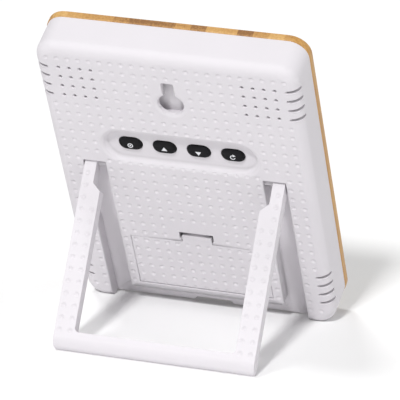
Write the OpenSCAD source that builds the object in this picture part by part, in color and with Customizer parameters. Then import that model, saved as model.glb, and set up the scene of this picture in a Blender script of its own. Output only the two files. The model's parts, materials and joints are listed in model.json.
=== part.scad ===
// Carbon dioxide monitor: a bamboo-fronted desk instrument that leans back on a fold-out stand.
// Every module draws its piece with the body lying on its front face:
//   x to the right as seen from behind, y up the body, z from the front face (0) to the back (body_d).
// stand_up() then raises the body on its feet and stand, and puts the origin under the middle.

/* [Body] */
// Width of the body
body_w = 116.8; // [114:0.1:119]
// Height of the body, measured along its leaning back
body_h = 155; // [152:0.5:158]
// Depth of the body, bamboo front included
body_d = 22; // [22:0.1:23]
// Radius of the four corners seen from the front
corner_r = 8.6; // [7:0.1:12]
// Radius of the edge round the back
edge_r = 4.8; // [3.5:0.1:5]
// Thickness of the moulded walls
wall = 2; // [1.8:0.1:2.2]

/* [Front] */
// Thickness of the bamboo front
bamboo_t = 3.5; // [3:0.1:3.5]
// How far the bamboo stands out past the shell at the sides and the top
bamboo_lip = 0.4; // [0:0.1:0.6]
// Width of the display window
window_w = 88; // [84:1:90]
// Height of the display window
window_h = 92; // [88:1:93]

/* [Dimple lattice] */
// Spacing of the dimple columns, which also places the vents, buttons and legs
pitch_x = 4.8; // [4.7:0.05:4.9]
// Spacing of the dimple rows
pitch_y = 5.35; // [5.25:0.05:5.4]
// Height of the top row of vents above the bottom of the body
row_0_y = 143; // [142:0.5:144]

/* [Stand] */
// Angle by which the stand opens
open_angle = 57.5; // [50:0.5:60]
// Width of one leg
leg_w = 9.2; // [7.8:0.1:9.3]
// Thickness of the legs and the crossbar
leg_t = 5.4; // [4.8:0.1:5.5]
// Height of the crossbar when the stand is folded in
crossbar_h = 8; // [7:0.5:8.5]

/* [Wall hanging] */
// Diameter of the round entry of the keyhole
keyhole_d = 11; // [10:0.5:12]
// Width of the slot above it
keyhole_slot_w = 5; // [4.5:0.1:5.5]

/* [Buttons] */
// Width of one button
button_w = 10.7; // [9:0.1:11]
// Height of one button
button_h = 6.9; // [6:0.1:7.2]
// How far a button goes in
button_travel = 0.5; // [0.3:0.1:0.5]

/* [Hidden] */

$fn = 48;
hull_fn = 40;        // segments on the rounded forms that hull() joins
cut = 1;             // how far a cutting solid runs past the face it opens
skin = wall;         // thickness of the back
liner_t = 1.6;       // wall round a recess sunk into the back

// Colours
shell_white = [0.90, 0.89, 0.92];
bamboo_tan = [0.80, 0.62, 0.38];
rubber_black = [0.06, 0.06, 0.07];
board_green = [0.10, 0.35, 0.22];
steel = [0.70, 0.71, 0.73];

// Legs, and the channels that they fold into
leg_outer_x = 45.5;
leg_inner_x = leg_outer_x - leg_w;
leg_gap = 0.5;                       // side clearance of a leg in its channel
channel_outer_x = leg_outer_x + leg_gap;
channel_inner_x = leg_inner_x - leg_gap;
channel_depth = 5.9;
channel_top_y = 88.3;
neck_w = 5.5;                        // the top of a leg is narrower, on its outer side
neck_len = 10;
shoulder_h = 3.4;                    // the step below the neck is a slope of this height
inner_r = 2.5;                       // fillet where a leg meets the crossbar
end_r = 2;                           // radius of the crossbar's ends
crossbar_top_y = 9.6;               // of the folded stand
crossbar_bottom_y = crossbar_top_y - crossbar_h;
recess_chamfer = 1.4;                // corners of the land between channels and recess
recess_step_y = 10.2;                  // top of the recess for the crossbar

// Hinge of the stand, within the thickness of the folded leg
hinge_y = 85.2;
hinge_z = body_d - leg_t / 2;
pin_r = 1.3;
pin_fit = 0.06;
pin_reach = 1.1;                     // how far a pin enters its bearing wall

// Standing pose: the line under the two back feet and the lower edge of the crossbar
foot_c = [body_d - edge_r, edge_r];                                // depth, height
toe_r = 0.5;
toe_s = [-leg_t / 2 + toe_r, -(hinge_y - crossbar_bottom_y) + toe_r]; // from the hinge, folded
toe_c = [hinge_z + toe_s[0] * cos(open_angle) - toe_s[1] * sin(open_angle),
         hinge_y + toe_s[0] * sin(open_angle) + toe_s[1] * cos(open_angle)];
span = norm(toe_c - foot_c);
tilt = atan2(toe_c[1] - foot_c[1], toe_c[0] - foot_c[0]) + asin((edge_r - toe_r) / span);
ground_z = foot_c[1] * cos(tilt) - foot_c[0] * sin(tilt) - edge_r;
// Rearmost point: the round outer edge of the crossbar, of radius leg_t
rim_s = [-leg_t / 2, -(hinge_y - crossbar_bottom_y) + leg_t];
rim_c = [hinge_z + rim_s[0] * cos(open_angle) - rim_s[1] * sin(open_angle),
         hinge_y + rim_s[0] * sin(open_angle) + rim_s[1] * cos(open_angle)];
rear_y = rim_c[0] * cos(tilt) + rim_c[1] * sin(tilt) + leg_t;

// Battery compartment and its door
cell_r = 7.1;
cell_z = 12.6;
cell_y = [20.6, 35.2];
cell_can = 49.2;
cell_nub = 1.3;
cell_nub_r = 2.75;
bay_x = 29;                          // half width inside
bay_y = [13.2, 42.6];
bay_floor_z = 5.4;
bay_wall_x = 33.4;                   // outer face of the side walls
sill_z = 16.6;                       // a sill under the door's hinge closes the compartment
sill_t = 1.2;
door_x = 31;
door_gap = 0.25;
door_t = 2;
door_top_y = 43.4;
barrel_r = 1.1;
barrel_c = [14.6, body_d - barrel_r]; // height, depth of the door's hinge line
door_pin_r = 0.75;
door_pin_len = 1.4;
tab_x = 6.8;
tab_top_y = 47;
finger_gap_x = 7.9;
finger_gap_y = [45.3, 49.5];
latch_box = [9, 44, 51];             // half width, bottom, top of the latch pocket

// Buttons, in a shallow trough across the back
button_y = 99.2;
button_step = 3.22 * pitch_x;
button_x = [for (i = [-1.5 : 1 : 1.5]) i * button_step];
button_clear = 0.2;
trough_rim = [35.3, 9.25];           // half length, half height at the surface
trough_floor = [33.4, 7.35];
trough_depth = 2.9;
trough_floor_z = body_d - trough_depth;
button_top_z = body_d - 1.8;
flange_t = 0.7;
flange_rim = 1;
flange_z = trough_floor_z - liner_t - 0.1 - flange_t;

// Battery contacts, and their tails up to the board
contact_t = 0.4;
tail_w = 1.5;
tail_z = [6, 15.3];                  // depth of the two tails
tail_rise_y = 44.8;                  // where the deep one turns towards the back
tail_end_y = [50.9, 53];             // where each ends, on the back of the board

// Board and display stack, by depth
board_z = 11;
board_t = 1.6;
board_back_z = board_z + board_t;
board_x = 48.5;
board_y = [50, 139];
adhesive_t = 0.3;
carrier_z = bamboo_t + adhesive_t;
carrier_t = 0.7;
lcd_z = carrier_z + carrier_t;
lcd_t = 2.8;
lcd_w = 84;
lcd_y = [50, 134];
window_y = 93;                       // middle of the window
rim_t = 1.2;
rim_gap = 0.3;
guide_z = lcd_z + lcd_t + 0.1;
guide_t = 3;
guide_y = [57, 133.5];

// Switches, 0.2 clear of a button that is fully in
switch_z = flange_z - button_travel - 0.2;
switch_w = 6;
switch_floor_t = 0.8;
plunger_r = 1.7;

// Fasteners
case_screw_at = [[-49.5, 8], [49.5, 8], [-49.5, 112], [49.5, 112], [-20, 145.8], [20, 145.8]];
board_screw_at = [[-46, 119.5], [46, 119.5], [-46, 60], [46, 60]];
boss_z = 7;                          // where carrier bosses and shell bosses meet
boss_r = 3.5;
case_shank_r = 1.25;
case_pilot_r = 1.3;
case_head_r = 2.3;
case_head_t = 1.7;
case_screw_len = 9;
post_r = 2.5;
board_shank_r = 1;
board_pilot_r = 1.05;
board_head_r = 1.9;
board_head_t = 1.3;
board_screw_len = 4.4;
board_pilot_z = 15.8;                // bottom of the pilot holes

// Vents
vent_d = 1.4;
vent_rows = 4;
slot_rows = [0, 21];
slot_h = 1.3;
slot_x = 53.2;
slot_z = 16.8;

// Keyhole, with a closed pocket behind it
pocket_z = 14.8;                     // floor of the latch pocket
keyhole_floor_z = 17.2;              // floor of the keyhole's pocket
pocket_t = 1.4;
keyhole_y = 127.6;
keyhole_top_y = 140;
keyhole_pocket = [6.6, 120.6, 141.6]; // half width, bottom, top

function row_y(row) = row_0_y - row * pitch_y;

module stand_up() {
    translate([0, -rear_y / 2, -ground_z]) rotate([-tilt, 0, 0]) rotate([90, 0, 180]) children();
}

// A box given by its lowest and highest corners
module block(a, b) {
    translate(a) cube(b - a);
}

module both_sides() {
    children();
    mirror([1, 0, 0]) children();
}

module round_rect(w, h, r) {
    square([w - 2 * r, h], center = true);
    square([w, h - 2 * r], center = true);
    for (x = [-1, 1], y = [-1, 1]) translate([x * (w / 2 - r), y * (h / 2 - r)]) circle(r);
}

// A slot shape, half_w and half_h from its middle
module stadium(half_w, half_h) {
    square([2 * (half_w - half_h), 2 * half_h], center = true);
    for (x = [-1, 1]) translate([x * (half_w - half_h), 0]) circle(half_h);
}

// The body's rounded form, drawn in by inset on its sides and back, and started at depth from
module body_form(inset, from) {
    r = corner_r - inset;
    f = edge_r - inset;
    h = body_d - inset - from;
    hull() for (x = [-1, 1], y = [-1, 1])
        translate([x * (body_w / 2 - corner_r), body_h / 2 + y * (body_h / 2 - corner_r), from])
            rotate_extrude($fn = hull_fn) {
                square([r, h - f]);
                square([r - f, h]);
                translate([r - f, h - f]) intersection() {
                    circle(f, $fn = hull_fn);
                    square(f);
                }
            }
}

// ---- Rear shell ----

// Material behind the recesses, before they are cut
module shell_liners() {
    top = body_d;
    floor_z = body_d - channel_depth - liner_t;
    both_sides() block([channel_inner_x - liner_t, 0, floor_z],
                       [channel_outer_x + liner_t, channel_top_y + liner_t, top]);
    block([-channel_outer_x, 0, floor_z], [channel_outer_x, recess_step_y + liner_t / 2, top]);
    translate([0, button_y, trough_floor_z - liner_t]) linear_extrude(trough_depth)
        stadium(trough_rim[0] + liner_t, trough_rim[1] + liner_t);
    block([-keyhole_pocket[0] - pocket_t, keyhole_pocket[1] - pocket_t, keyhole_floor_z - pocket_t],
          [keyhole_pocket[0] + pocket_t, keyhole_pocket[2] + pocket_t, top]);
    block([-bay_wall_x, bay_y[0] - pocket_t, bay_floor_z - 0.8], [bay_wall_x, bay_y[1] + pocket_t, top]);
    block([-latch_box[0] - pocket_t, bay_y[1], pocket_z - pocket_t],
          [latch_box[0] + pocket_t, latch_box[2] + pocket_t, top]);
}

module shell_bosses() {
    top = body_d - skin / 2;
    for (p = case_screw_at) translate([p[0], p[1], boss_z]) cylinder(r = boss_r, h = top - boss_z);
    for (p = board_screw_at) translate([p[0], p[1], board_back_z]) cylinder(r = post_r,
        h = top - board_back_z);
}

module keyhole_cut() {
    translate([0, keyhole_y, body_d - skin - cut]) cylinder(d = keyhole_d, h = skin + 2 * cut);
    block([-keyhole_slot_w / 2, keyhole_y, body_d - skin - cut],
          [keyhole_slot_w / 2, keyhole_top_y, body_d + cut]);
    block([-keyhole_pocket[0], keyhole_pocket[1], keyhole_floor_z],
          [keyhole_pocket[0], keyhole_pocket[2], body_d - skin]);
}

module trough_cut() {
    translate([0, button_y, trough_floor_z]) hull() {
        linear_extrude(0.01) stadium(trough_floor[0], trough_floor[1]);
        translate([0, 0, trough_depth]) linear_extrude(cut) stadium(trough_rim[0], trough_rim[1]);
    }
    for (x = button_x) translate([x, button_y, flange_z - cut]) linear_extrude(body_d)
        stadium(button_w / 2 + button_clear, button_h / 2 + button_clear);
}

// Channels for the legs, and the recess for the crossbar with a notch for a fingernail
module stand_cut() {
    floor_z = body_d - channel_depth;
    both_sides() {
        block([channel_inner_x, -cut, floor_z], [channel_outer_x, channel_top_y, body_d + cut]);
        translate([channel_inner_x - pin_reach - 0.2, hinge_y, hinge_z]) rotate([0, 90, 0])
            cylinder(r = pin_r + pin_fit, h = channel_outer_x - channel_inner_x + 2 * pin_reach + 0.4);
    }
    block([-channel_outer_x, -cut, floor_z], [channel_outer_x, recess_step_y, body_d + cut]);
    both_sides() translate([0, 0, floor_z]) linear_extrude(channel_depth + cut) polygon([
        [channel_inner_x + 0.1, recess_step_y - 0.1], [channel_inner_x - recess_chamfer,
            recess_step_y - 0.1],
        [channel_inner_x + 0.1, recess_step_y + recess_chamfer]]);
    translate([0, 0, floor_z - liner_t - 2]) linear_extrude(channel_depth + 4)
        polygon([[-10, -cut], [-8, 1.8], [8, 1.8], [10, -cut]]);
}

// Compartment for two cells, its mouth, the hinge groove of the door and the latch pocket
module bay_cut() {
    block([-bay_x, bay_y[0], bay_floor_z], [bay_x, bay_y[1], sill_z]);
    block([-bay_x, bay_y[0] + sill_t, bay_floor_z], [bay_x, bay_y[1], body_d - skin]);
    mouth = door_x + door_gap;
    block([-mouth, barrel_c[0], body_d - door_t], [mouth, door_top_y + door_gap, body_d + cut]);
    block([-mouth, barrel_c[0] - barrel_r - 0.2, barrel_c[1] - barrel_r - 0.3],
          [mouth, barrel_c[0] + 2, body_d + cut]);
    translate([-mouth - door_pin_len - 0.2, barrel_c[0], barrel_c[1]]) rotate([0, 90, 0])
        cylinder(r = door_pin_r + pin_fit, h = 2 * (mouth + door_pin_len + 0.2));
    block([-latch_box[0], latch_box[1], pocket_z], [latch_box[0], latch_box[2], body_d - skin]);
    block([-tab_x - door_gap, bay_y[1] - 0.4, pocket_z], [tab_x + door_gap, finger_gap_y[1], body_d + cut]);
    block([-finger_gap_x, finger_gap_y[0], body_d - skin - cut], [finger_gap_x, finger_gap_y[1],
        body_d + cut]);
    for (z = [tail_z[0], tail_z[1]])
        block([bay_x - 0.6, bay_y[1] - cut, z - 0.3], [bay_x + 0.2, bay_y[1] + 2, z + tail_w + 0.3]);
}

module vent_cuts() {
    both_sides() {
        for (col = [7 : 10], row = [0 : vent_rows - 1])
            translate([col * pitch_x, row_y(row), body_d - skin - cut]) cylinder(d = vent_d,
                h = skin + 2 * cut);
        for (first = slot_rows, row = [first : first + 3])
            block([slot_x, row_y(row) - slot_h / 2, slot_z], [body_w, row_y(row) + slot_h / 2,
                body_d + cut]);
    }
}

module rear_shell() {
    color(shell_white) stand_up() difference() {
        union() {
            difference() {
                body_form(0, bamboo_t);
                body_form(wall, bamboo_t - cut);
            }
            intersection() {
                body_form(wall / 2, bamboo_t);
                union() {
                    shell_liners();
                    shell_bosses();
                }
            }
        }
        keyhole_cut();
        trough_cut();
        stand_cut();
        bay_cut();
        vent_cuts();
        for (p = case_screw_at) translate([p[0], p[1], boss_z - cut]) cylinder(r = case_pilot_r, h = 9);
        for (p = board_screw_at) translate([p[0], p[1], board_back_z - cut])
            cylinder(r = board_pilot_r, h = board_pilot_z - board_back_z + cut);
    }
}

// ---- Stand ----

// Outline of the folded stand from behind: two legs with narrow necks, and a crossbar with round ends
module stand_outline() {
    neck_x = leg_outer_x - neck_w;
    shoulder_y = hinge_y - neck_len;
    top_y = hinge_y + leg_t;
    end_y = crossbar_bottom_y + end_r - 0.25;
    both_sides() polygon([
        [neck_x, top_y], [leg_outer_x, top_y], [leg_outer_x, end_y],
        [leg_inner_x, end_y], [leg_inner_x, shoulder_y - shoulder_h], [neck_x, shoulder_y]]);
    bar_w = 2 * (leg_outer_x - end_r);
    translate([-bar_w / 2, crossbar_bottom_y - cut]) square([bar_w, crossbar_h + cut]);
    for (x = [-1, 1]) translate([x * bar_w / 2, end_y]) circle(end_r);
    // Fillets in the inner corners, their circle set a little way into both sides
    both_sides() difference() {
        translate([leg_inner_x - inner_r, crossbar_top_y - 0.1]) square(inner_r + 0.1);
        translate([leg_inner_x - inner_r + 0.15, crossbar_top_y + inner_r - 0.15]) circle(inner_r);
    }
}

// The same from the side: round at the hinge, and with a quarter round along the lower outer edge
module stand_profile() {
    inner_z = body_d - leg_t;
    round_y = crossbar_bottom_y + leg_t;
    translate([round_y, inner_z]) square([hinge_y - round_y, leg_t]);
    translate([hinge_y, hinge_z]) circle(d = leg_t);
    translate([round_y, inner_z]) intersection() {
        circle(leg_t);
        translate([-leg_t, 0]) square(leg_t);
    }
}

// Pin of one leg, and the heel that meets the channel floor when the stand is open
module stand_pivot() {
    translate([channel_inner_x - pin_reach, hinge_y, hinge_z]) rotate([0, 90, 0])
        cylinder(r = pin_r, h = channel_outer_x - channel_inner_x + 2 * pin_reach);
    heel_h = channel_depth - leg_t / 2 - 0.25;
    heel_w = neck_w - 1.2;
    translate([leg_outer_x - (neck_w + heel_w) / 2, hinge_y, hinge_z]) rotate([open_angle, 0, 0])
        translate([0, 0, -heel_h]) cube([heel_w, 0.8, heel_h]);
}

module kickstand() {
    color(shell_white) stand_up() translate([0, hinge_y, hinge_z]) rotate([-open_angle, 0, 0])
        translate([0, -hinge_y, -hinge_z]) {
            intersection() {
                linear_extrude(body_d + cut) stand_outline();
                rotate([90, 0, 90]) translate([0, 0, -body_w]) linear_extrude(2 * body_w) stand_profile();
            }
            both_sides() stand_pivot();
        }
}

// ---- Battery door ----

module battery_door() {
    color(shell_white) stand_up() {
        block([-door_x, barrel_c[0], body_d - door_t], [door_x, door_top_y, body_d]);
        block([-tab_x, door_top_y - 1, body_d - door_t], [tab_x, tab_top_y, body_d]);
        translate([-door_x, barrel_c[0], barrel_c[1]]) rotate([0, 90, 0]) cylinder(r = barrel_r,
            h = 2 * door_x);
        translate([-door_x - door_pin_len, barrel_c[0], barrel_c[1]]) rotate([0, 90, 0])
            cylinder(r = door_pin_r, h = 2 * (door_x + door_pin_len));
        // Latch: a tongue behind the tab, with a nib towards the lip
        block([-5, tab_top_y - 1.2, 16.5], [5, tab_top_y, body_d - door_t + 0.5]);
        block([-3.5, tab_top_y - 0.5, 18.2], [3.5, finger_gap_y[1] - 0.4, 19.7]);
    }
}

// ---- Front ----

module front_panel() {
    color(bamboo_tan) stand_up() difference() {
        translate([0, (body_h + bamboo_lip) / 2, 0]) linear_extrude(bamboo_t)
            round_rect(body_w + 2 * bamboo_lip, body_h + bamboo_lip, corner_r + bamboo_lip);
        translate([0, window_y, -cut]) linear_extrude(bamboo_t + 2 * cut) round_rect(window_w, window_h, 3);
    }
}

module carrier_outline() {
    translate([0, body_h / 2]) round_rect(body_w - 2 * wall - 0.5, body_h - 2 * wall - 0.5,
        corner_r - wall - 0.25);
}

module display_opening() {
    translate([0, (lcd_y[0] + lcd_y[1]) / 2]) square([lcd_w - 4, lcd_y[1] - lcd_y[0] - 4], center = true);
}

module panel_adhesive() {
    color([0.15, 0.15, 0.16]) stand_up() translate([0, 0, bamboo_t]) linear_extrude(adhesive_t)
        difference() {
        carrier_outline();
        display_opening();
        for (p = case_screw_at) translate(p) circle(boss_r + 0.5);
    }
}

module front_carrier() {
    color(shell_white) stand_up() difference() {
        union() {
            translate([0, 0, carrier_z]) linear_extrude(carrier_t) difference() {
                carrier_outline();
                display_opening();
            }
            // Frame round the glass
            translate([0, 0, lcd_z]) linear_extrude(board_z - lcd_z - 0.3) difference() {
                lcd_frame(rim_gap + rim_t);
                lcd_frame(rim_gap);
            }
            for (p = case_screw_at) translate([p[0], p[1], carrier_z]) cylinder(r = boss_r,
                h = boss_z - carrier_z);
        }
        for (p = case_screw_at) translate([p[0], p[1], 0]) {
            cylinder(r = case_pilot_r + 0.15, h = body_d);
            cylinder(r = case_head_r + 0.2, h = carrier_z + case_head_t + 0.1);
        }
    }
}

module lcd_frame(margin) {
    translate([0, (lcd_y[0] + lcd_y[1]) / 2])
        square([lcd_w + 2 * margin, lcd_y[1] - lcd_y[0] + 2 * margin], center = true);
}

module display_lens() {
    color([0.12, 0.12, 0.13]) stand_up() translate([0, window_y, bamboo_t - 2]) linear_extrude(2)
        round_rect(window_w - 0.6, window_h - 0.6, 2.7);
}

module lcd_panel() {
    color([0.62, 0.68, 0.62]) stand_up() block([-lcd_w / 2, lcd_y[0], lcd_z], [lcd_w / 2, lcd_y[1],
        lcd_z + lcd_t]);
}

module backlight_guide() {
    color([0.93, 0.94, 0.96]) stand_up()
        block([-lcd_w / 2 + 1, guide_y[0], guide_z], [lcd_w / 2 - 1, guide_y[1], guide_z + guide_t]);
}

module backlight_led() {
    color([0.98, 0.96, 0.85]) stand_up() block([-1.8, guide_y[0] - 2.6, guide_z + 0.4], [1.8,
        guide_y[0] - 0.2, board_z]);
}

module lcd_connector() {
    color([0.75, 0.60, 0.70]) stand_up() block([-38, lcd_y[0] + 0.6, lcd_z + lcd_t], [38, lcd_y[0] + 3,
        board_z]);
}

// ---- Electronics ----

module main_board() {
    color(board_green) stand_up() difference() {
        block([-board_x, board_y[0], board_z], [board_x, board_y[1], board_back_z]);
        for (p = case_screw_at) translate([p[0], p[1], 0]) cylinder(r = boss_r + 0.6, h = body_d);
        for (p = board_screw_at) translate([p[0], p[1], 0]) cylinder(r = board_pilot_r + 0.15, h = body_d);
    }
}

module controller_chip() {
    color([0.08, 0.08, 0.09]) stand_up() block([-6, 70, board_back_z], [6, 82, board_back_z + 1.4]);
}

module co2_sensor() {
    color(steel) stand_up() block([-46, 128, board_back_z], [-35.9, 138.1, board_back_z + 6.5]);
}

module temp_humidity_sensor() {
    color([0.2, 0.2, 0.22]) stand_up() block([39.5, 132.5, board_back_z], [42.5, 135.5,
        board_back_z + 1.1]);
}

module buzzer() {
    color([0.07, 0.07, 0.08]) stand_up() translate([25, 70, board_back_z]) difference() {
        cylinder(d = 12, h = 5.5);
        translate([0, 0, 4]) cylinder(d = 2, h = 2);
    }
}

module tact_switches() {
    color(rubber_black) stand_up() for (x = button_x) difference() {
        block([x - switch_w / 2, button_y - switch_w / 2, board_back_z],
              [x + switch_w / 2, button_y + switch_w / 2, switch_z]);
        translate([x, button_y, board_back_z + switch_floor_t]) cylinder(r = plunger_r + 0.15, h = body_d);
    }
}

module plunger(i) {
    foot_z = board_back_z + switch_floor_t + button_travel + 0.2;
    color([0.75, 0.74, 0.70]) stand_up() translate([button_x[i], button_y, foot_z])
        cylinder(r = plunger_r, h = flange_z - foot_z);
}

module button(i) {
    color(rubber_black) stand_up() translate([button_x[i], button_y, flange_z]) {
        linear_extrude(flange_t) stadium(button_w / 2 + flange_rim, button_h / 2 + flange_rim);
        linear_extrude(button_top_z - flange_z - 0.5) stadium(button_w / 2, button_h / 2);
        linear_extrude(button_top_z - flange_z) stadium(button_w / 2 - 0.5, button_h / 2 - 0.5);
    }
}

// ---- Cells and contacts ----

// Cell i lies across the body, its positive end towards side
module cell(i, side) {
    color([0.80, 0.81, 0.83]) stand_up() translate([0, cell_y[i], cell_z]) rotate([0, side * 90, 0])
        translate([0, 0, bay_x - 0.5 - cell_nub - cell_can]) {
            cylinder(r = cell_r, h = cell_can);
            cylinder(r = cell_nub_r, h = cell_can + cell_nub);
        }
}

// Flat contact of cell i at the end named by side
module contact_plate(i, side) {
    x = side * bay_x;
    block([min(x, x - side * contact_t), cell_y[i] - 5, cell_z - 4.5],
          [max(x, x - side * contact_t), cell_y[i] + 5, cell_z + 4.5]);
}

module contact_plates() {
    color(steel) stand_up() {
        contact_plate(0, 1);
        contact_plate(1, -1);
        // Tail of the first cell's contact: under the other contact, then up to the back of the board
        tail_top_z = board_back_z + 1.4;
        block([bay_x - contact_t, cell_y[0] - 2, tail_z[0]], [bay_x, cell_y[0] + 2, cell_z - 4]);
        block([bay_x - contact_t, cell_y[0] - 2, tail_z[0]], [bay_x, tail_rise_y + tail_w,
            tail_z[0] + tail_w]);
        block([bay_x - contact_t, tail_rise_y, tail_z[0]], [bay_x, tail_rise_y + tail_w, tail_top_z]);
        block([bay_x - contact_t, tail_rise_y, board_back_z], [bay_x, tail_end_y[0], tail_top_z]);
    }
}

module spring_contacts() {
    free = 2 * bay_x - 0.5 - cell_nub - cell_can - contact_t;
    color(steel) stand_up() {
        for (i = [0, 1]) let (side = i == 0 ? -1 : 1) {
            contact_plate(i, side);
            translate([side * (bay_x - contact_t), cell_y[i], cell_z]) rotate([0, -side * 90, 0])
                rotate_extrude() polygon([[3.6, 0], [4.4, 0], [2.2, free - 0.1], [1.4, free - 0.1]]);
        }
        // Tail of the second cell's contact
        block([bay_x - contact_t, cell_y[1], tail_z[1]], [bay_x, tail_end_y[1], tail_z[1] + tail_w]);
        block([bay_x - contact_t, tail_end_y[1] - tail_w, board_back_z], [bay_x, tail_end_y[1],
            tail_z[1] + tail_w]);
    }
}

// ---- Screws ----

// Pan-head screw along z, its head below the origin
module screw(head_r, head_t, shank_r, len) {
    translate([0, 0, -head_t]) cylinder(r = head_r, h = head_t);
    cylinder(r = shank_r, h = len);
}

module case_screws() {
    color(steel) stand_up() for (p = case_screw_at)
        translate([p[0], p[1], carrier_z + case_head_t + 0.1])
            screw(case_head_r, case_head_t, case_shank_r, case_screw_len);
}

module board_screws() {
    color(steel) stand_up() for (p = board_screw_at)
        translate([p[0], p[1], board_z]) screw(board_head_r, board_head_t, board_shank_r, board_screw_len);
}

rear_shell();
kickstand();
battery_door();
front_panel();
panel_adhesive();
front_carrier();
display_lens();
lcd_panel();
backlight_guide();
backlight_led();
lcd_connector();
main_board();
controller_chip();
co2_sensor();
temp_humidity_sensor();
buzzer();
tact_switches();
button(0);  // button_set
button(1);  // button_up
button(2);  // button_down
button(3);  // button_reset
plunger(0);  // plunger_set
plunger(1);  // plunger_up
plunger(2);  // plunger_down
plunger(3);  // plunger_reset
cell(0, 1);  // battery_cell_1
cell(1, -1);  // battery_cell_2
contact_plates();
spring_contacts();
case_screws();
board_screws();
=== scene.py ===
import bpy
import bmesh
import json
import math
from mathutils import Matrix, Vector


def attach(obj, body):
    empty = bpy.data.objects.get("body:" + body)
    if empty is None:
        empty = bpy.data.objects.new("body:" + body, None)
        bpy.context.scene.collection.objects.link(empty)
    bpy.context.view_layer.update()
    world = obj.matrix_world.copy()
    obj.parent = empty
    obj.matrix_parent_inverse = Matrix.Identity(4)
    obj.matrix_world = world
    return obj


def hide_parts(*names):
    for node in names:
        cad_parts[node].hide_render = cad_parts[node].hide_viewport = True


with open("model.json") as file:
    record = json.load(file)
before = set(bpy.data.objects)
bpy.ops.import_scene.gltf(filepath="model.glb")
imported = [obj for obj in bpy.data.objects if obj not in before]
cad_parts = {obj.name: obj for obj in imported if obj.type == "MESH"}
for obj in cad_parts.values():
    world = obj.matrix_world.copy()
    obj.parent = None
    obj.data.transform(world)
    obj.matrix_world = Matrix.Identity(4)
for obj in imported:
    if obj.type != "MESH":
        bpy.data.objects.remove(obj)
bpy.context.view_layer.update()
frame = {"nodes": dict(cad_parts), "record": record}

# ---- Places, all worked out from the frame ----
# Shapes are drawn in millimetres with the body lying on its front: x to the right as seen from
# behind, y up the body, z from the front face to the back. LIE takes them to the row frame in metres.
MM = 0.001
BODY_W, BODY_H, BODY_D = 116.8, 155.0, 22.0
CORNER_R, EDGE_R = 8.6, 4.8
RECESS_Z = 16.1           # floor of the channels and of the recess for the crossbar
BUTTON_X, BUTTON_Y, BUTTON_TOP = (-23.184, -7.728, 7.728, 23.184), 99.2, 20.2
PITCH_X, PITCH_Y, ROW_0_Y = 4.8, 5.35, 143.0
BACK_MARK_Y = 66.0        # height on the body of the record's back_face mount

mounts = {m["name"]: m for m in frame["record"]["mounts"]}
joints = {j["name"]: j for j in frame["record"]["behaviour"]["joints"]}
back_n = Vector(mounts["back_face"]["axis"]).normalized()
side_x = Vector((-1, 0, 0))
up_y = back_n.cross(side_x)
LIE = Matrix((side_x, up_y, back_n)).transposed().to_4x4() @ Matrix.Scale(MM, 4)
LIE.translation = Vector(mounts["back_face"]["pos_m"]) - (up_y * BACK_MARK_Y + back_n * BODY_D) * MM
UNLIE = LIE.inverted()

open_angle = -math.radians(joints["kickstand_hinge"]["range_deg"][0])
hinge = UNLIE @ Vector(joints["kickstand_hinge"]["pos_m"])
OPEN = Matrix.Translation(hinge) @ Matrix.Rotation(-open_angle, 4, "X") @ Matrix.Translation(-hinge)


def row_y(row):
    return ROW_0_Y - row * PITCH_Y


# ---- Mesh helpers ----
def new_object(name, mesh):
    piece = bpy.data.objects.new(name, mesh)
    bpy.context.scene.collection.objects.link(piece)
    return piece


def object_from_bmesh(name, bm):
    mesh = bpy.data.meshes.new(name)
    bmesh.ops.recalc_face_normals(bm, faces=bm.faces)
    bm.to_mesh(mesh)
    bm.free()
    return new_object(name, mesh)


def cad_copy(node, name, undo=Matrix.Identity(4)):
    """A copy of a CAD node's mesh, back in the lying frame; undo takes an open piece back to folded."""
    mesh = frame["nodes"][node].data.copy()
    mesh.transform(undo @ UNLIE)
    mesh.materials.clear()
    bm = bmesh.new()
    bm.from_mesh(mesh)
    bmesh.ops.remove_doubles(bm, verts=bm.verts, dist=0.0005)
    bm.to_mesh(mesh)
    bm.free()
    return new_object(name, mesh)


def applied(piece):
    """Applies the piece's modifiers to its mesh."""
    graph = bpy.context.evaluated_depsgraph_get()
    mesh = bpy.data.meshes.new_from_object(piece.evaluated_get(graph))
    piece.modifiers.clear()
    piece.data = mesh
    return piece


def boolean(piece, cutter, operation="DIFFERENCE"):
    mod = piece.modifiers.new("cut", "BOOLEAN")
    mod.object = cutter
    mod.operation = operation
    mod.solver = "MANIFOLD"
    applied(piece)
    bpy.data.objects.remove(cutter)
    return piece


def soften(piece, width, segments=2, angle=35):
    """Rounds the piece's sharp edges."""
    bm = bmesh.new()
    bm.from_mesh(piece.data)
    bmesh.ops.dissolve_limit(bm, angle_limit=math.radians(0.4), verts=bm.verts, edges=bm.edges)
    bm.to_mesh(piece.data)
    bm.free()
    mod = piece.modifiers.new("soften", "BEVEL")
    mod.width = width
    mod.segments = segments
    mod.limit_method = "ANGLE"
    mod.angle_limit = math.radians(angle)
    mod.harden_normals = False
    return applied(piece)


def smooth(piece, angle=32):
    """Smooth shading that keeps sharp edges and flat faces."""
    mesh = piece.data
    mesh.polygons.foreach_set("use_smooth", [True] * len(mesh.polygons))
    mesh.set_sharp_from_angle(angle=math.radians(angle))
    mod = piece.modifiers.new("normals", "WEIGHTED_NORMAL")
    mod.keep_sharp = True
    mod.weight = 80
    return applied(piece)


def place(piece, body, move=Matrix.Identity(4)):
    """Takes a finished piece from the lying frame to the row frame and lets it ride on its body."""
    piece.data.transform(LIE @ move)
    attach(piece, body)
    return piece


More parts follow.
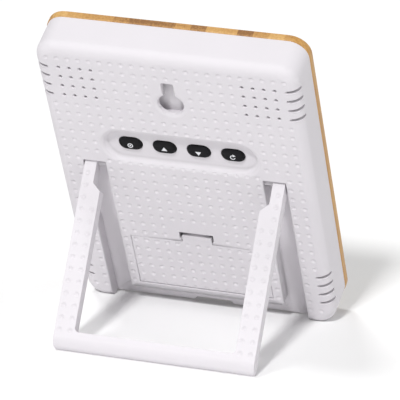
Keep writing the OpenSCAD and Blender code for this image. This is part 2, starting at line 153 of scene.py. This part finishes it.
def turned(bm, profile, centre, normal=Vector((0, 0, 1)), segments=16):
    """Adds a solid of revolution to bm: profile is (radius, height) pairs from axis to axis."""
    turn = Vector((0, 0, 1)).rotation_difference(normal).to_matrix()
    rings = []
    for r, h in profile:
        count = 1 if r < 1e-6 else segments
        rings.append([
            bm.verts.new(centre + turn @ Vector((
                r * math.cos(2 * math.pi * k / segments), r * math.sin(2 * math.pi * k / segments), h)))
            for k in range(count)])
    for a, b in zip(rings, rings[1:]):
        for k in range(segments):
            n = (k + 1) % segments
            if len(a) == 1:
                bm.faces.new((a[0], b[k], b[n]))
            elif len(b) == 1:
                bm.faces.new((a[k], a[n], b[0]))
            else:
                bm.faces.new((a[k], a[n], b[n], b[k]))


def rounded_rect(half_w, half_h, r, steps=8):
    """Points round a rectangle with round corners, anticlockwise."""
    points = []
    for quarter, (sx, sy) in enumerate(((1, 1), (-1, 1), (-1, -1), (1, -1))):
        for k in range(steps + 1):
            a = math.pi / 2 * (quarter + k / steps)
            points.append((sx * (half_w - r) + r * math.cos(a), sy * (half_h - r) + r * math.sin(a)))
    return points


def lofted(bm, half_w, half_h, r, levels, centre=(0, 0), steps=8):
    """Adds a closed solid of round-cornered rectangles: levels is (z, outset) pairs from end to end."""
    rings = []
    for z, out in levels:
        ring = [bm.verts.new((centre[0] + x, centre[1] + y, z))
                for x, y in rounded_rect(half_w + out, half_h + out, max(r + out, 0.01), steps)]
        rings.append(ring)
    count = len(rings[0])
    for a, b in zip(rings, rings[1:]):
        for k in range(count):
            n = (k + 1) % count
            bm.faces.new((a[k], a[n], b[n], b[k]))
    bm.faces.new(rings[0][::-1])
    bm.faces.new(rings[-1])


# ---- Materials ----
class Shader:
    """A node tree with a Principled shader, and short names for what the materials use."""

    def __init__(self, name, color, roughness, **settings):
        self.material = bpy.data.materials.new(name)
        self.material.use_nodes = True
        self.tree = self.material.node_tree
        self.tree.nodes.clear()
        self.out = self.tree.nodes.new("ShaderNodeOutputMaterial")
        self.bsdf = self.tree.nodes.new("ShaderNodeBsdfPrincipled")
        self.link(self.bsdf, "BSDF", self.out, "Surface")
        self.bsdf.inputs["Base Color"].default_value = (*color, 1)
        self.bsdf.inputs["Roughness"].default_value = roughness
        for key, value in settings.items():
            self.bsdf.inputs[key.replace("_", " ")].default_value = value
        self.coords = self.tree.nodes.new("ShaderNodeTexCoord")

    def link(self, a, out, b, into):
        self.tree.links.new(a.outputs[out], b.inputs[into])

    def mapped(self, scale):
        node = self.tree.nodes.new("ShaderNodeMapping")
        node.inputs["Scale"].default_value = scale
        self.link(self.coords, "Object", node, "Vector")
        return node

    def stretched(self, source, scale, detail):
        mapping = self.tree.nodes.new("ShaderNodeMapping")
        mapping.inputs["Scale"].default_value = scale
        self.link(source, "Vector", mapping, "Vector")
        node = self.tree.nodes.new("ShaderNodeTexNoise")
        node.inputs["Scale"].default_value = 1.0
        node.inputs["Detail"].default_value = detail
        self.link(mapping, "Vector", node, "Vector")
        return node

    def math(self, operation, a, b):
        """A math node on two inputs, each (node, output name) or a number; gives (node, output name)."""
        node = self.tree.nodes.new("ShaderNodeMath")
        node.operation = operation
        for at, value in enumerate((a, b)):
            if isinstance(value, tuple):
                self.link(value[0], value[1], node, at)
            elif value is not None:
                node.inputs[at].default_value = value
        return node, "Value"

    def noise(self, scale, detail=3.0, stretch=(1, 1, 1), roughness=0.5):
        node = self.tree.nodes.new("ShaderNodeTexNoise")
        node.inputs["Scale"].default_value = scale
        node.inputs["Detail"].default_value = detail
        node.inputs["Roughness"].default_value = roughness
        self.link(self.mapped(stretch), "Vector", node, "Vector")
        return node

    def ramp(self, source, out, stops):
        node = self.tree.nodes.new("ShaderNodeValToRGB")
        ramp = node.color_ramp
        while len(ramp.elements) < len(stops):
            ramp.elements.new(0.5)
        for element, (at, color) in zip(ramp.elements, stops):
            element.position = at
            element.color = (*color, 1)
        self.link(source, out, node, "Fac")
        return node

    def remap(self, source, out, low, high):
        node = self.tree.nodes.new("ShaderNodeMapRange")
        node.inputs["To Min"].default_value = low
        node.inputs["To Max"].default_value = high
        self.link(source, out, node, "Value")
        return node

    def bump(self, source, out, distance, strength=1.0, under=None):
        node = self.tree.nodes.new("ShaderNodeBump")
        node.inputs["Distance"].default_value = distance
        node.inputs["Strength"].default_value = strength
        self.link(source, out, node, "Height")
        if under is not None:
            self.link(under, "Normal", node, "Normal")
        self.link(node, "Normal", self.bsdf, "Normal")
        return node


def plastic(name, color, roughness, grain=0.00002, mottle=0.02, grain_scale=3500, **settings):
    """Moulded plastic: a fine eroded texture, with slightly uneven colour and gloss."""
    s = Shader(name, color, roughness, **settings)
    cloud = s.noise(35, 4)
    low = tuple(c * (1 - mottle) for c in color)
    high = tuple(min(1, c * (1 + mottle)) for c in color)
    s.link(s.ramp(cloud, "Fac", [(0.3, low), (0.7, high)]), "Color", s.bsdf, "Base Color")
    fine = s.noise(grain_scale, 2)
    s.link(s.remap(fine, "Fac", roughness - 0.06, roughness + 0.06), "Result", s.bsdf, "Roughness")
    s.bump(fine, "Fac", grain)
    return s.material


def bamboo(name):
    """Laminated bamboo: upright strips of uneven colour with long fibres, oiled to a satin."""
    s = Shader(name, (0.5, 0.3, 0.13), 0.42)
    lying = s.tree.nodes.new("ShaderNodeMapping")
    lying.inputs["Rotation"].default_value = UNLIE.to_3x3().normalized().to_euler()
    s.link(s.coords, "Object", lying, "Vector")
    fibre = s.stretched(lying, (1100, 28, 1100), 4)
    layer = s.stretched(lying, (12, 12, 420), 1)
    parts = s.tree.nodes.new("ShaderNodeSeparateXYZ")
    s.link(lying, "Vector", parts, "Vector")
    strip = s.math("FLOOR", s.math("MULTIPLY", (parts, "X"), 145.0), None)
    tone = s.tree.nodes.new("ShaderNodeTexWhiteNoise")
    tone.noise_dimensions = "1D"
    s.link(strip[0], strip[1], tone, "W")
    blend = s.math("ADD", s.math("MULTIPLY", (tone, "Value"), 0.42), s.math("MULTIPLY", (fibre, "Fac"), 0.62))
    blend = s.math("ADD", blend, s.math("MULTIPLY", (layer, "Fac"), 0.3))
    tones = s.ramp(blend[0], blend[1], [
        (0.40, (0.24, 0.105, 0.024)), (0.60, (0.43, 0.215, 0.055)),
        (0.78, (0.56, 0.31, 0.09)), (0.98, (0.68, 0.43, 0.16))])
    s.link(tones, "Color", s.bsdf, "Base Color")
    s.link(s.remap(fibre, "Fac", 0.36, 0.52), "Result", s.bsdf, "Roughness")
    s.bump(fibre, "Fac", 0.00006, 0.7)
    return s.material


def metal(name, color, roughness, stretch=(1, 1, 8)):
    """Plated metal with fine brushing."""
    s = Shader(name, color, roughness, Metallic=1.0)
    brushed = s.noise(900, 3, stretch)
    dark = tuple(c * 0.86 for c in color)
    s.link(s.ramp(brushed, "Fac", [(0.3, dark), (0.7, color)]), "Color", s.bsdf, "Base Color")
    s.link(s.remap(brushed, "Fac", roughness - 0.08, roughness + 0.08), "Result", s.bsdf, "Roughness")
    s.bump(brushed, "Fac", 0.00001)
    return s.material


def board(name):
    """Solder mask over copper: a grid of tracks and pads shows as slightly lighter green."""
    s = Shader(name, (0.02, 0.12, 0.055), 0.32)
    tracks = s.tree.nodes.new("ShaderNodeTexBrick")
    tracks.inputs["Scale"].default_value = 190
    tracks.inputs["Mortar Size"].default_value = 0.06
    tracks.inputs["Color1"].default_value = (0.018, 0.11, 0.05, 1)
    tracks.inputs["Color2"].default_value = (0.02, 0.13, 0.06, 1)
    tracks.inputs["Mortar"].default_value = (0.04, 0.2, 0.1, 1)
    s.link(s.coords, "Object", tracks, "Vector")
    s.link(tracks, "Color", s.bsdf, "Base Color")
    s.link(s.remap(s.noise(700, 2), "Fac", 0.26, 0.4), "Result", s.bsdf, "Roughness")
    s.bump(tracks, "Fac", 0.00003)
    return s.material


SHELL = plastic("shell_plastic", (0.700, 0.674, 0.706), 0.62, mottle=0.012)
BAMBOO = bamboo("bamboo")
RUBBER = plastic("button_rubber", (0.006, 0.006, 0.0075), 0.62, 0.00001, Specular_IOR_Level=0.16)
MARK = plastic("mark_ink", (0.78, 0.79, 0.82), 0.55, 0.000005)
FOAM = plastic("adhesive_foam", (0.02, 0.02, 0.022), 0.85, 0.00006, 0.2, 1500)
CHASSIS = plastic("chassis_plastic", (0.66, 0.66, 0.65), 0.5)
EPOXY = plastic("black_epoxy", (0.014, 0.014, 0.016), 0.48, 0.00002, 0.1)
GUIDE = plastic("light_guide", (0.82, 0.85, 0.88), 0.25, 0.00003, 0.03, 1500)
CONNECTOR = plastic("connector_rubber", (0.5, 0.33, 0.44), 0.6, 0.00003, 0.15, 1200)
LENS = plastic("lens_acrylic", (0.009, 0.009, 0.011), 0.1, 0.000002, 0.1, 600)
GLASS = plastic("lcd_glass", (0.36, 0.41, 0.36), 0.2, 0.000003, 0.05, 1200)
SEGMENT = plastic("lcd_ink", (0.02, 0.024, 0.022), 0.35, 0.000003)
JACKET = plastic("cell_jacket", (0.05, 0.13, 0.10), 0.28, 0.000006, 0.06, 900)
JACKET_BAND = plastic("cell_band", (0.62, 0.46, 0.2), 0.28, 0.000006, 0.06, 900)
NICKEL = metal("contact_nickel", (0.66, 0.64, 0.60), 0.24)
CAN = metal("sensor_metal", (0.60, 0.60, 0.61), 0.35)
STEEL = metal("screw_steel", (0.50, 0.50, 0.52), 0.3)
BOARD = board("circuit_board")

# ---- Dimple lattice ----
DIMPLE_R, DIMPLE_DEPTH = 1.42, 0.55


def back_surface(x, y):
    """Point and outward normal of the body's back or its rounded edge, behind (x, y)."""
    qx, qy = abs(x) - (BODY_W / 2 - CORNER_R), abs(y - BODY_H / 2) - (BODY_H / 2 - CORNER_R)
    if qx > 0 and qy > 0:
        inside = CORNER_R - math.hypot(qx, qy)
        away = Vector((qx * math.copysign(1, x), qy * math.copysign(1, y - BODY_H / 2), 0))
    elif qx > qy:
        inside, away = CORNER_R - qx, Vector((math.copysign(1, x), 0, 0))
    else:
        inside, away = CORNER_R - qy, Vector((0, math.copysign(1, y - BODY_H / 2), 0))
    lean = math.asin(max(0.0, min(1.0, (EDGE_R - inside) / EDGE_R)))
    normal = away.normalized() * math.sin(lean) + Vector((0, 0, math.cos(lean)))
    return Vector((x, y, BODY_D - EDGE_R + EDGE_R * math.cos(lean))), normal


def dimple_profile(radius, depth):
    """A soft dish, closed just above the surface."""
    rings = [(t * radius, 0.02 - depth * math.cos(t * math.pi / 2) ** 1.3)
             for t in (0.0, 0.3, 0.52, 0.7, 0.85)]
    return rings + [(radius, 0.02), (radius * 1.08, 0.06), (radius * 1.08, 0.4), (0.0, 0.4)]


def dimple_cutter(name, places):
    bm = bmesh.new()
    for point, normal in places:
        turned(bm, dimple_profile(DIMPLE_R, DIMPLE_DEPTH), point, normal)
    return object_from_bmesh(name, bm)


def smooth_patch(col, row):
    """True where the shell has no dimple at that column and row; columns count from the middle."""
    c = abs(col)
    vents = 7 <= c <= 10 and 0 <= row <= 3
    slots = c == 11 and (0 <= row <= 3 or 21 <= row <= 24)
    keyhole = c <= 1 and 1 <= row <= 4
    trough = c <= 7 and 7 <= row <= 9
    channels = 8 <= c <= 9 and row >= 10
    latch = c <= 2 and 17 <= row <= 18
    door = c <= 6 and row >= 19
    recess = c <= 9 and row >= 25
    return vents or slots or keyhole or trough or channels or latch or door or recess


def shell_dimples():
    for col in range(-11, 12):
        for row in range(-1, 26):
            if smooth_patch(col, row):
                continue
            point, normal = back_surface(col * PITCH_X, row_y(row))
            if normal.z > 0.8:
                yield point, normal
    for col in range(-7, 8):
        yield Vector((col * PITCH_X, row_y(26), RECESS_Z)), Vector((0, 0, 1))


def door_dimples():
    for col in range(-6, 7):
        for row in range(19, 25):
            yield Vector((col * PITCH_X, row_y(row), BODY_D)), Vector((0, 0, 1))


STAND_SHIFT = 4.75        # the stand's dimples sit lower than the shell's


def stand_dimples():
    for side in (-1, 1):
        for col, first in ((8, 14), (9, 11)):
            for row in range(first, 25):
                yield Vector((side * col * PITCH_X, row_y(row) - STAND_SHIFT, BODY_D)), Vector((0, 0, 1))


# ---- Pieces ----
def finish(piece, body, material, slot, *nodes, move=Matrix.Identity(4), angle=32):
    """Shades a piece drawn in the lying frame, gives it its material, places it and hides the CAD nodes it
    stands in for.
    """
    smooth(piece, angle)
    piece.data.materials.clear()
    piece.data.materials.append(material)
    place(piece, body, move)
    if nodes:
        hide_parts(*nodes)
    return piece


def lips():
    """Cutter that rounds the rims of the trough, keyhole, channels and vents."""
    bm = bmesh.new()
    lofted(bm, 35.3, 9.25, 9.25, [
        (20.6, -0.95), (21.2, -0.5), (21.6, -0.05), (21.85, 0.5), (21.98, 1.0), (22.02, 1.5), (22.4, 1.5)],
        (0, BUTTON_Y), 16)
    rim = object_from_bmesh("lip_trough", bm)
    bm = bmesh.new()
    turned(bm, [
        (0, 20.6), (5.52, 20.6), (5.75, 21.3), (6.2, 21.75), (6.9, 21.96), (7.7, 22.02), (7.7, 22.4),
        (0, 22.4)],
        Vector((0, 127.6, 0)), segments=48)
    yield rim
    yield object_from_bmesh("lip_keyhole", bm)
    bm = bmesh.new()
    lofted(bm, 2.5, 6.2, 0.4, [(21.2, 0.01), (21.6, 0.1), (21.9, 0.35), (22.02, 0.8), (22.4, 0.8)],
           (0, 133.8))
    yield object_from_bmesh("lip_slot", bm)
    bm = bmesh.new()
    for side in (-1, 1):
        lofted(bm, 5.1, 46.1, 0.3, [(21.5, 0.01), (21.8, 0.08), (21.95, 0.22), (22.02, 0.45), (22.4, 0.45)],
               (side * 40.9, 42.1))
        for col in range(7, 11):
            for row in range(4):
                turned(bm, [
                    (0, 21.4), (0.71, 21.4), (0.8, 21.75), (1.02, 21.95), (1.3, 22.02), (1.3, 22.4),
                    (0, 22.4)],
                    Vector((side * col * PITCH_X, row_y(row), 0)))
    yield object_from_bmesh("lip_channels", bm)


SLOT_HALF_W, SLOT_SINK = 1.25, 0.5


def slot_scoops():
    """Cutter that scoops the rims of the corner slots, following the rounded edge."""
    bm = bmesh.new()
    steps, sides = 14, 12
    for side in (-1, 1):
        for row in (0, 1, 2, 3, 21, 22, 23, 24):
            rows = []
            for k in range(steps + 1):
                t = k / steps
                lean = math.radians(-12 + 100 * t)
                x = BODY_W / 2 - EDGE_R + EDGE_R * math.sin(lean)
                normal = Vector((side * math.sin(lean), 0, math.cos(lean)))
                at = Vector((side * x, row_y(row), BODY_D - EDGE_R + EDGE_R * math.cos(lean)))
                grow = math.sin(math.pi * (0.08 + 0.84 * t)) ** 0.5
                deep, wide = SLOT_SINK * grow, SLOT_HALF_W * grow
                rows.append([
                    bm.verts.new(at + normal * deep * math.sin(a) + Vector((0, wide * math.cos(a), 0)))
                    for a in [2 * math.pi * j / sides for j in range(sides)]])
            for a, b in zip(rows, rows[1:]):
                for j in range(sides):
                    bm.faces.new((a[j], a[(j + 1) % sides], b[(j + 1) % sides], b[j]))
            bm.faces.new(rows[0])
            bm.faces.new(rows[-1][::-1])
    return object_from_bmesh("slot_scoops", bm)


def make_rear_shell():
    piece = cad_copy("rear_shell", "rear_shell_skin")
    for lip in lips():
        boolean(piece, lip)
    boolean(piece, slot_scoops())
    boolean(piece, dimple_cutter("shell_dimples", shell_dimples()))
    finish(piece, "monitor_body", SHELL, "shell_plastic", "rear_shell")


def make_door():
    piece = cad_copy("battery_door", "battery_door_panel")
    soften(piece, 0.15, 2)
    boolean(piece, dimple_cutter("door_dimples", door_dimples()))
    finish(piece, "battery_door", SHELL, "shell_plastic", "battery_door")


def make_stand():
    piece = cad_copy("kickstand", "kickstand_frame", OPEN.inverted())
    soften(piece, 0.7, 4, 50)
    boolean(piece, dimple_cutter("stand_dimples", stand_dimples()))
    finish(piece, "kickstand", SHELL, "shell_plastic", "kickstand", move=OPEN)


def make_front():
    piece = cad_copy("front_panel", "front_panel_bamboo")
    soften(piece, 0.5, 3)
    finish(piece, "monitor_body", BAMBOO, "bamboo", "front_panel")
    piece = cad_copy("display_lens", "display_lens_border")
    soften(piece, 0.25, 2)
    bm = bmesh.new()
    lofted(bm, 38.5, 38.5, 1.5, [(0.5, 0), (4.5, 0)], (0, 92))
    boolean(piece, object_from_bmesh("lens_window", bm))
    finish(piece, "monitor_body", LENS, "lens_acrylic", "display_lens")
    bm = bmesh.new()
    lofted(bm, 38.48, 38.48, 1.5, [(1.55, 0), (3.45, 0)], (0, 92))
    finish(object_from_bmesh("display_lens_clear", bm), "monitor_body", clear_lens(), "lens_acrylic")
    make_digits()


def clear_lens():
    """The clear middle of the acrylic, with faint surface ripple."""
    s = Shader("lens_clear", (0.93, 0.95, 0.94), 0.05, Alpha=0.16, IOR=1.49)
    s.link(s.remap(s.noise(300, 2), "Fac", 0.03, 0.08), "Result", s.bsdf, "Roughness")
    return s.material


# Segments of a digit: middle (x, y) and half size (x, y), in units of the digit's half width
SEGMENTS = {
    "a": ((0, 1.8), 1), "b": ((0.9, 0.9), 0), "c": ((0.9, -0.9), 0), "d": ((0, -1.8), 1),
    "e": ((-0.9, -0.9), 0), "f": ((-0.9, 0.9), 0), "g": ((0, 0), 1)}
DIGITS = {"0": "abcdef", "2": "abged", "4": "fgbc", "6": "afgedc", "8": "abcdefg"}
INK_Z, INK_T = 4.38, 0.08


def segment(bm, x, y, flat, unit, z):
    """A bar with pointed ends, lying flat or standing up."""
    half, thick = 0.72 * unit, 0.17 * unit
    outline = [
        (-half, 0), (-half + thick, -thick), (half - thick, -thick),
        (half, 0), (half - thick, thick), (-half + thick, thick)]
    if not flat:
        outline = [(-b, a) for a, b in outline]
    prism(bm, [(x + a, y + b) for a, b in outline], z, z + INK_T)


def prism(bm, outline, low, high):
    below = [bm.verts.new((x, y, low)) for x, y in outline]
    above = [bm.verts.new((x, y, high)) for x, y in outline]
    bm.faces.new(below[::-1])
    bm.faces.new(above)
    for k in range(len(outline)):
        n = (k + 1) % len(outline)
        bm.faces.new((below[k], below[n], above[n], above[k]))


def make_digits():
    """Plain readings on the glass: one large, two small; x runs to the left as seen from the front."""
    bm = bmesh.new()
    for text, left, y, unit in (("800", -28, 104, 7.5), ("24", -30, 70, 4.2), ("46", 8, 70, 4.2)):
        for k, digit in enumerate(text):
            centre = left + unit + k * unit * 2.9
            for name in DIGITS[digit]:
                (sx, sy), flat = SEGMENTS[name]
                segment(bm, -(centre + sx * unit), y + sy * unit, flat, unit, INK_Z)
    for y in (84.5, 59.5):
        prism(bm, [(-35, y - 0.25), (35, y - 0.25), (35, y + 0.25), (-35, y + 0.25)], INK_Z, INK_Z + INK_T)
    finish(object_from_bmesh("lcd_digits", bm), "monitor_body", SEGMENT, "lcd_glass")


MARK_HALF_T = 0.06        # marks are sunk half their thickness into the button


def ring(bm, centre, inner, outer, z, start=0.0, sweep=2 * math.pi, steps=32):
    """A flat ring or arc, sunk half its thickness into the surface at z."""
    closed = sweep > 6.28
    count = steps if closed else steps + 1
    rows = []
    for k in range(count):
        a = start + sweep * k / steps
        rows.append([bm.verts.new((centre[0] + r * math.cos(a), centre[1] + r * math.sin(a), h))
                     for r, h in ((inner, z - MARK_HALF_T), (outer, z - MARK_HALF_T),
                                  (outer, z + MARK_HALF_T), (inner, z + MARK_HALF_T))])
    for k in range(steps):
        a, b = rows[k], rows[(k + 1) % count]
        for j in range(4):
            bm.faces.new((a[j], a[(j + 1) % 4], b[(j + 1) % 4], b[j]))
    if not closed:
        bm.faces.new(rows[0])
        bm.faces.new(rows[-1][::-1])


def make_buttons():
    for k, key in enumerate(("set", "up", "down", "reset")):
        x = BUTTON_X[k]
        bm = bmesh.new()
        lofted(bm, 5.35, 3.45, 3.45, [
            (16.7, 1.0), (17.4, 1.0), (17.4, 0.0), (18.9, 0.0), (19.4, -0.08), (19.75, -0.28), (20.0, -0.62),
            (20.14, -1.05), (20.2, -1.6)], (x, BUTTON_Y), 12)
        finish(object_from_bmesh("button_cap_" + key, bm), "button_" + key, RUBBER, "button_rubber",
               "button_" + key, angle=50)
        bm = bmesh.new()
        y = BUTTON_Y - 0.55
        if key == "set":
            ring(bm, (x, y), 0.85, 1.25, BUTTON_TOP)
            ring(bm, (x, y), 0.02, 0.38, BUTTON_TOP, steps=16)
        elif key == "reset":
            ring(bm, (x, y), 0.8, 1.2, BUTTON_TOP, math.radians(70), math.radians(280))
            prism(bm, [(x + 0.1, y + 1.75), (x + 0.1, y + 0.25), (x + 1.35, y + 1.0)],
                  BUTTON_TOP - MARK_HALF_T, BUTTON_TOP + MARK_HALF_T)
        else:
            tip = 1 if key == "up" else -1
            prism(bm, [(x - 1.3, y - tip * 0.85), (x + 1.3, y - tip * 0.85), (x, y + tip * 1.25)],
                  BUTTON_TOP - MARK_HALF_T, BUTTON_TOP + MARK_HALF_T)
        finish(object_from_bmesh("button_mark_" + key, bm), "button_" + key, MARK, "button_rubber")


CELLS = ((1, 20.6, 1), (2, 35.2, -1))      # number, height, side of the positive end
CELL_Z, CELL_R, CELL_END = 12.6, 7.1, 28.5


def make_cells():
    for number, y, side in CELLS:
        axis = Vector((side, 0, 0))
        foot = Vector((side * (CELL_END - 1.3 - 49.2), y, CELL_Z))
        name = "battery_cell_%d" % number
        for part, profile, material in (
                ("jacket", [
                    (0, 0.3), (5.6, 0.3), (5.6, 0.05), (6.6, 0.05), (7.02, 0.35), (CELL_R, 0.8), (CELL_R, 38),
                    (0, 38)], JACKET),
                ("band", [
                    (0, 38), (CELL_R, 38), (CELL_R, 48.5), (7.0, 48.95), (6.6, 49.2), (4.6, 49.2),
                    (4.6, 48.9), (0, 48.9)], JACKET_BAND),
                ("cap", [
                    (0, 48.9), (4.5, 48.9), (4.5, 49.15), (2.9, 49.2), (2.75, 49.5), (2.75, 50.2),
                    (2.4, 50.5), (0, 50.5)], NICKEL),
                ("base", [(0, 0.3), (5.5, 0.3), (5.5, 0.1), (4.6, 0.0), (0, 0.0)], NICKEL)):
            bm = bmesh.new()
            turned(bm, profile, foot, axis, 48)
            finish(object_from_bmesh(name + "_" + part, bm), "monitor_body", material, "cell_jacket", name)


def box(bm, low, high):
    prism(bm, [(low[0], low[1]), (high[0], low[1]), (high[0], high[1]), (low[0], high[1])], low[2], high[2])


def make_springs():
    """The two sprung contacts: a plate each, a tapered coil, and the second one's tail."""
    bm = bmesh.new()
    for y, side in ((20.6, -1), (35.2, 1)):
        xs = sorted((side * 29.0, side * 28.6))
        box(bm, (xs[0], y - 5, CELL_Z - 4.5), (xs[1], y + 5, CELL_Z + 4.5))
    box(bm, (28.6, 35.2, 15.3), (28.99, 53, 16.8))
    box(bm, (28.6, 51.5, 12.6), (28.99, 53, 15.31))
    finish(object_from_bmesh("spring_plates", bm), "monitor_body", NICKEL, "contact_nickel",
           "spring_contacts")
    for number, (y, side) in enumerate(((20.6, -1), (35.2, 1)), 1):
        bm = bmesh.new()
        turns, wire, steps = 4.5, 0.32, 110
        length = 2 * 29.0 - 0.5 - 1.3 - 49.2 - 0.4 - 0.1
        rows = []
        for k in range(steps + 1):
            t = k / steps
            a = 2 * math.pi * turns * t
            r = 4.05 - 2.3 * t
            out = Vector((0, math.cos(a), math.sin(a)))
            centre = Vector((side * (28.6 - wire - (length - 2 * wire) * t), y, CELL_Z)) + out * r
            rows.append([
                bm.verts.new(centre + out * wire * math.cos(b) + Vector((side, 0, 0)) * wire * math.sin(b))
                for b in [2 * math.pi * j / 8 for j in range(8)]])
        for a, b in zip(rows, rows[1:]):
            for j in range(8):
                bm.faces.new((a[j], a[(j + 1) % 8], b[(j + 1) % 8], b[j]))
        bm.faces.new(rows[0])
        bm.faces.new(rows[-1][::-1])
        finish(object_from_bmesh("spring_coil_%d" % number, bm), "monitor_body", NICKEL, "contact_nickel",
               "spring_contacts", angle=60)


CARRIED = {
    "panel_adhesive": FOAM, "front_carrier": CHASSIS, "lcd_panel": GLASS, "backlight_guide": GUIDE,
    "backlight_led": GUIDE, "lcd_connector": CONNECTOR, "main_board": BOARD, "controller_chip": EPOXY,
    "co2_sensor": CAN, "temp_humidity_sensor": EPOXY, "buzzer": EPOXY, "tact_switches": EPOXY,
    "plunger_set": CHASSIS, "plunger_up": CHASSIS, "plunger_down": CHASSIS, "plunger_reset": CHASSIS,
    "contact_plates": NICKEL, "case_screws": STEEL, "board_screws": STEEL}


def dress_carried():
    """Gives every CAD mesh that stays in the model its material."""
    for node, material in CARRIED.items():
        mesh = frame["nodes"][node].data
        if not mesh.materials:
            mesh.materials.append(material)
        for k in range(len(mesh.materials)):
            mesh.materials[k] = material


make_rear_shell()
make_door()
make_stand()
make_front()
make_buttons()
make_cells()
make_springs()
dress_carried()

# ---- Stage, light and camera ----
floor_mesh = bpy.data.meshes.new("floor")
floor_mesh.from_pydata([(-9, -9, 0), (9, -9, 0), (9, 9, 0), (-9, 9, 0)], [], [(0, 1, 2, 3)])
floor = new_object("floor", floor_mesh)
floor_look = Shader("floor_white", (0.97, 0.97, 0.97), 0.95)
floor.data.materials.append(floor_look.material)

world = bpy.data.worlds.new("studio")
bpy.context.scene.world = world
world.use_nodes = True
world.node_tree.nodes["Background"].inputs["Color"].default_value = (1.0, 1.0, 1.0, 1)
world.node_tree.nodes["Background"].inputs["Strength"].default_value = 0.33


def sun(name, azimuth, elevation, strength, spread):
    """A soft sun; azimuth is measured from +Y, the stand's side, towards +X. Angles in degrees."""
    data = bpy.data.lights.new(name, "SUN")
    data.energy = strength
    data.angle = math.radians(spread)
    light = new_object(name, data)
    a, e = math.radians(azimuth), math.radians(elevation)
    at = Vector((math.sin(a) * math.cos(e), math.cos(a) * math.cos(e), math.sin(e)))
    light.rotation_mode = "QUATERNION"
    light.rotation_quaternion = at.to_track_quat("Z", "Y")


sun("key_light", 2, 42, 2.0, 7)
sun("top_light", 75, 74, 0.75, 12)
sun("side_light", -95, 25, 0.7, 70)

# The camera stands behind and above; its place and aim are in the lying frame, in millimetres
CAMERA_AT = Vector((470.5, 1167.4, 1031.0))
CAMERA_LOOK = Vector((-0.29819, -0.70217, -0.64656))
CAMERA_UP = Vector((-0.11584, 0.69899, -0.70569))
camera_data = bpy.data.cameras.new("camera")
camera_data.lens = 324.6
camera_data.sensor_width = 36
camera_data.clip_end = 30
camera = new_object("camera", camera_data)
turn = LIE.to_3x3().normalized()
back = -(turn @ CAMERA_LOOK).normalized()
right = (turn @ CAMERA_UP).normalized().cross(back).normalized()
aim = Matrix((right, back.cross(right), back)).transposed().to_4x4()
camera.matrix_world = Matrix.Translation(LIE @ CAMERA_AT) @ aim
bpy.context.scene.camera = camera
bpy.context.scene.view_settings.view_transform = "Standard"
